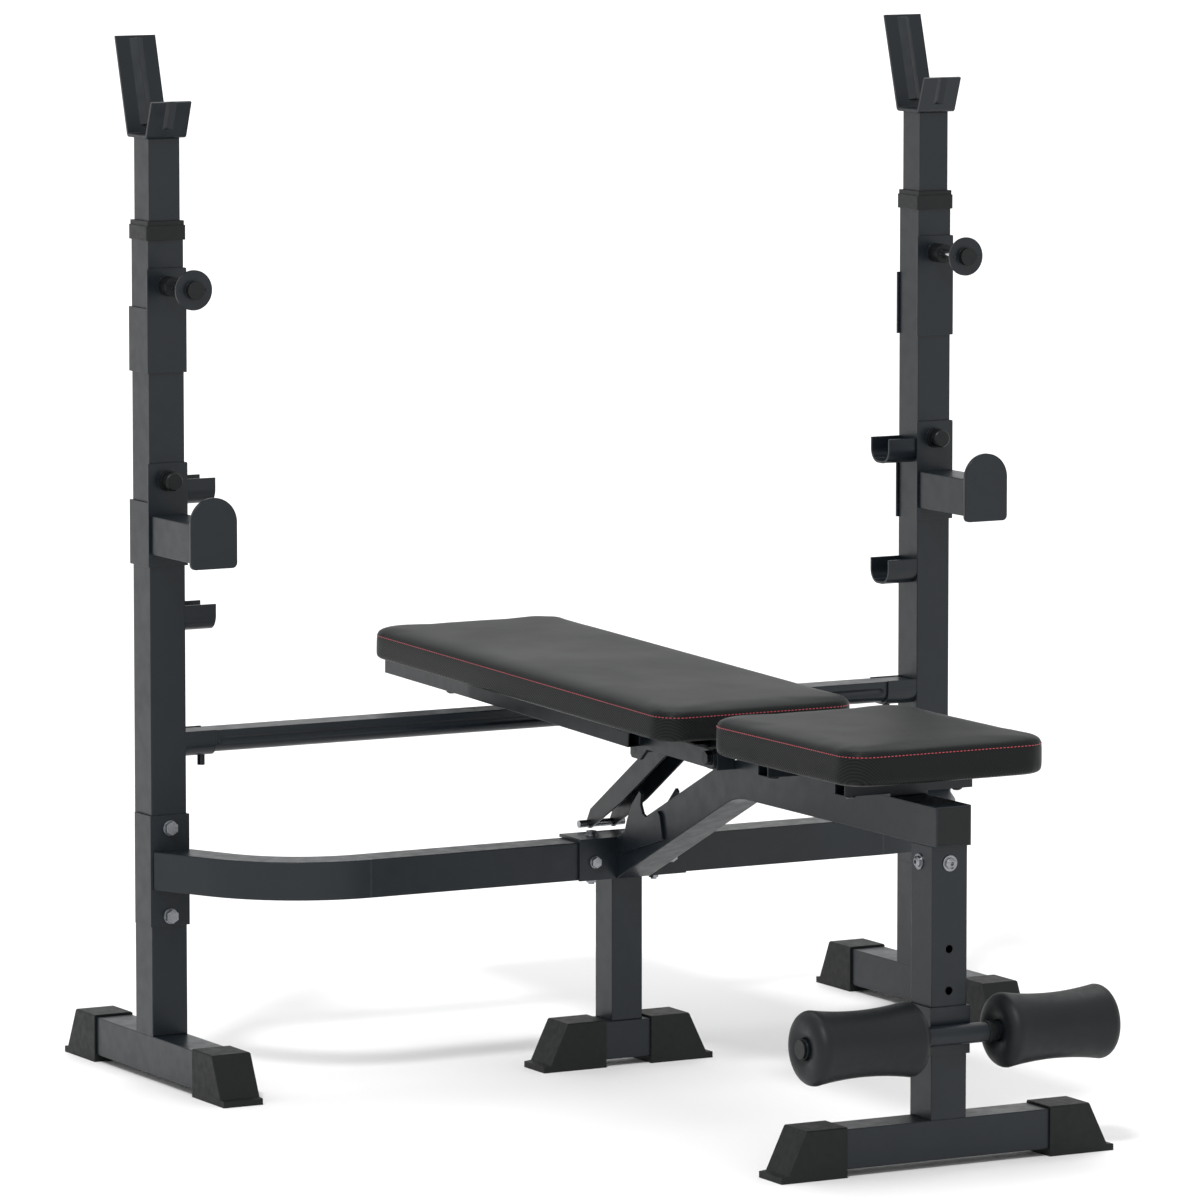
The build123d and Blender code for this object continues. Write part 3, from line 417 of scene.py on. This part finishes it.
def upholstered_pad(node, body, origin, tilt, size, heights):
    """A pad with its cover, seam and stitching, made level at its origin and then turned into place."""
    half_x, low_y, high_y = size
    base, top = heights
    inset = 0.0025
    profile = [
        (inset + 0.010, base + 0.0005),
        (inset + 0.002, base + 0.002),
        (inset, base + 0.007),
        (inset, top - 0.011),
        (inset + 0.001, top - 0.007),
        (inset + 0.004, top - 0.0040),
        (inset + 0.009, top - 0.0022),
        (inset + 0.016, top - 0.0016),
    ]
    pad = pad_shell(node + "_cover", size, profile, PAD_CORNER)
    swell(pad, 0.005, base + 0.004, 0.002)
    for vertex in pad.data.vertices:
        vertex.co.z = min(vertex.co.z, top + 0.003)
    seam = top - SEAM_BELOW_TOP
    place = Matrix.Translation(origin) @ Matrix.Rotation(tilt, 4, "X")
    loop = fine_loop(surface_loop(pad, size, PAD_CORNER, seam, THREAD * 0.25), 0.002)
    stitches = mesh_object(node + "_stitches", loop, [])
    stitches.data.edges.add(len(loop))
    for index in range(len(loop)):
        stitches.data.edges[index].vertices = (index, (index + 1) % len(loop))
    run_tree(stitches, STITCHES, {"Thread": THREAD_RED})
    pad.data.transform(place)
    stitches.data.transform(place)
    pad.data.materials.clear()
    pad.data.materials.append(upholstery(node + "_vinyl", origin, tilt, top - TOP_PANEL_DROP))
    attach(pad, body)
    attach(stitches, body)
    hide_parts(node)


def lathe(name, profile, centre, steps=72):
    """A closed solid of revolution about X: profile is (x, radius) pairs, closed end to end."""
    vertices, faces = [], []
    for x, radius in profile:
        for step in range(steps):
            angle = 2 * math.pi * step / steps
            vertices.append(
                (centre[0] + x, centre[1] + radius * math.cos(angle), centre[2] + radius * math.sin(angle))
            )
    count = len(profile)
    for ring in range(count):
        for step in range(steps):
            a, b = ring * steps + step, ring * steps + (step + 1) % steps
            c, d = ((ring + 1) % count) * steps + (step + 1) % steps, ((ring + 1) % count) * steps + step
            faces.append((a, b, c, d))
    return mesh_object(name, vertices, faces)


def foam_roller(side):
    """A waisted foam roller with rounded shoulders and a dished end round the axle."""
    node = f"foam_roller_{side}"
    low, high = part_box(node)
    centre = (low + high) / 2
    half, radius = (high.x - low.x) / 2, (high.z - low.z) / 2
    bore, shoulder, waist = 0.0137, 0.017, radius - 0.0065
    full, depth = radius - 0.0008, shoulder * 0.8
    angles = [math.radians(90 * (8 - step) / 8) for step in range(9)]
    outer = [(-half + depth * (1 - math.sin(a)), full - shoulder * (1 - math.cos(a))) for a in angles]
    span = half - depth
    places = [-1 + 2 * step / 24 for step in range(1, 24)]
    middle = [(span * t, waist + (full - waist) * t * t) for t in places]
    mirrored = [(-x, r) for x, r in reversed(outer)]
    left = [(-half + 0.0035, bore), (-half + 0.0035, bore + 0.0035), (-half + 0.0008, bore + 0.0075)]
    right = [(-x, r) for x, r in reversed(left)]
    piece = lathe(node + "_foam", [*left, *outer, *middle, *mirrored, *right], centre)
    piece.data.materials.append(FOAM)
    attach(piece, f"foam_{side}")
    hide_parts(node)


def stage():
    """Pale floor, soft studio light and the camera."""
    bpy.ops.mesh.primitive_plane_add(size=240)
    floor = bpy.context.object
    floor.name = "studio_floor"
    material, _, shader = new_material("studio_floor", Roughness=0.9, Specular_IOR_Level=0.1)
    shader.inputs["Base Color"].default_value = (0.9, 0.9, 0.9, 1.0)
    floor.data.materials.append(material)
    world = bpy.data.worlds.new("studio")
    bpy.context.scene.world = world
    world.use_nodes = True
    background = world.node_tree.nodes["Background"]
    background.inputs["Color"].default_value = (1.0, 1.0, 1.0, 1.0)
    background.inputs["Strength"].default_value = 0.85
    bpy.context.scene.view_settings.view_transform = "Standard"
    lamps = (("key", (0.45, 0.5, -0.74), 8.0, 1.5), ("top", (-0.2, -0.35, -0.92), 40.0, 0.8))
    for name, aim, spread, strength in lamps:
        light = bpy.data.lights.new(name, "SUN")
        light.angle, light.energy = math.radians(spread), strength
        lamp = bpy.data.objects.new(name, light)
        lamp.rotation_euler = Vector(aim).to_track_quat("-Z", "Y").to_euler()
        bpy.context.collection.objects.link(lamp)
    camera = bpy.data.cameras.new("camera")
    camera.sensor_width, camera.lens = 36.0, 246.3
    camera.shift_x, camera.shift_y = 0.0028, -0.0649
    camera.clip_end = 300.0
    holder = bpy.data.objects.new("camera", camera)
    holder.location = (-5.187, -9.573 + UPRIGHT_Y, 1.907)
    holder.rotation_euler = (math.radians(90 - 6.32), 0.0, math.radians(-28.77))
    bpy.context.collection.objects.link(holder)
    bpy.context.scene.camera = holder


dress_frame()
hinge = Vector(joints["back_rest_hinge"]["pos_m"])
upholstered_pad("back_pad", "back_rest", hinge, BACK_TILT, (0.149, -0.040, 0.793), (0.0265, 0.0715))
seat_low, seat_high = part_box("seat_pad")
seat_middle = (seat_low + seat_high) / 2
seat_size = (seat_high.x, seat_low.y - seat_middle.y, seat_high.y - seat_middle.y)
seat_origin = Vector((0.0, seat_middle.y, 0.0))
upholstered_pad("seat_pad", "frame", seat_origin, 0.0, seat_size, (seat_low.z, seat_high.z))
for side in ("left", "right"):
    foam_roller(side)
stage()
